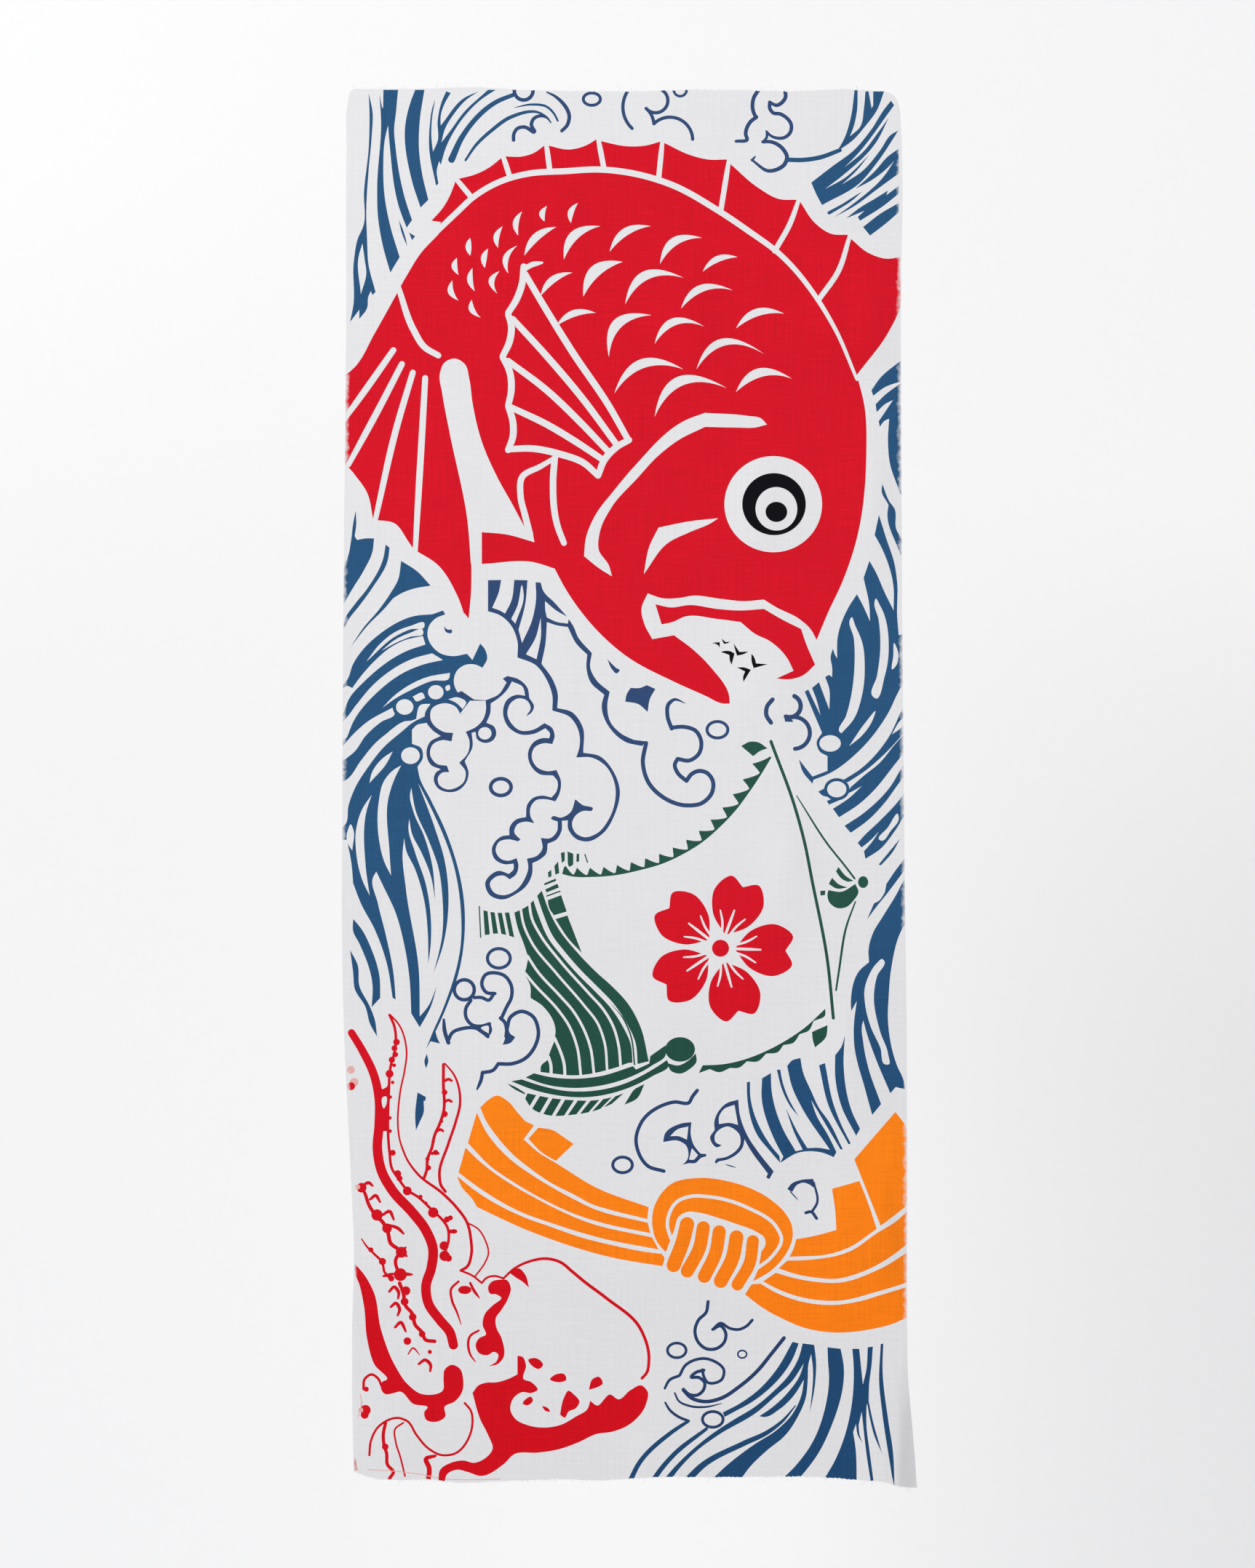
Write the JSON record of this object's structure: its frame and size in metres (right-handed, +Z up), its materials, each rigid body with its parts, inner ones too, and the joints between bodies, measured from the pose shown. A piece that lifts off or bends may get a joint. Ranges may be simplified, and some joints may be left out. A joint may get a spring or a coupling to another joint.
{
  "type": "hanging cloth",
  "caption": "Oblong printed cotton cloth that hangs from its top edge and folds up at pressed creases across its width.",
  "frame": {"origin": "the point on the back face of the top panel where the cloth is held, midway across and 10 mm below the top edge", "axes": "+Z up along the hanging cloth, +Y out of its back face (the print faces -Y), +X across it, to the right as the print is seen"},
  "size_m": [0.36, 0.0004, 0.9],
  "materials": {
    "printed_cotton": "matte plain-weave cotton, dyed in red, orange, blue and green on white"
  },
  "bodies": {
    "panel_1": {"panel_1": "printed_cotton"},
    "panel_2": {"panel_2": "printed_cotton"},
    "panel_3": {"panel_3": "printed_cotton"},
    "panel_4": {"panel_4": "printed_cotton"},
    "panel_5": {"panel_5": "printed_cotton"},
    "panel_6": {"panel_6": "printed_cotton"},
    "panel_7": {"panel_7": "printed_cotton"},
    "panel_8": {"panel_8": "printed_cotton"}
  },
  "joints": [
    {"name": "crease_1", "type": "hinge", "parent": "panel_1", "child": "panel_2", "pos_m": [0, -0.0002, -0.082], "axis": [-1, 0, 0], "range_deg": [-170, 170]},
    {"name": "crease_2", "type": "hinge", "parent": "panel_2", "child": "panel_3", "pos_m": [0, -0.0002, -0.199], "axis": [1, 0, 0], "range_deg": [-170, 170]},
    {"name": "crease_3", "type": "hinge", "parent": "panel_3", "child": "panel_4", "pos_m": [0, -0.0002, -0.316], "axis": [-1, 0, 0], "range_deg": [-170, 170]},
    {"name": "crease_4", "type": "hinge", "parent": "panel_4", "child": "panel_5", "pos_m": [0, -0.0002, -0.433], "axis": [1, 0, 0], "range_deg": [-170, 170]},
    {"name": "crease_5", "type": "hinge", "parent": "panel_5", "child": "panel_6", "pos_m": [0, -0.0002, -0.55], "axis": [-1, 0, 0], "range_deg": [-170, 170]},
    {"name": "crease_6", "type": "hinge", "parent": "panel_6", "child": "panel_7", "pos_m": [0, -0.0002, -0.667], "axis": [1, 0, 0], "range_deg": [-170, 170]},
    {"name": "crease_7", "type": "hinge", "parent": "panel_7", "child": "panel_8", "pos_m": [0, -0.0002, -0.784], "axis": [-1, 0, 0], "range_deg": [-170, 170]}
  ]
}
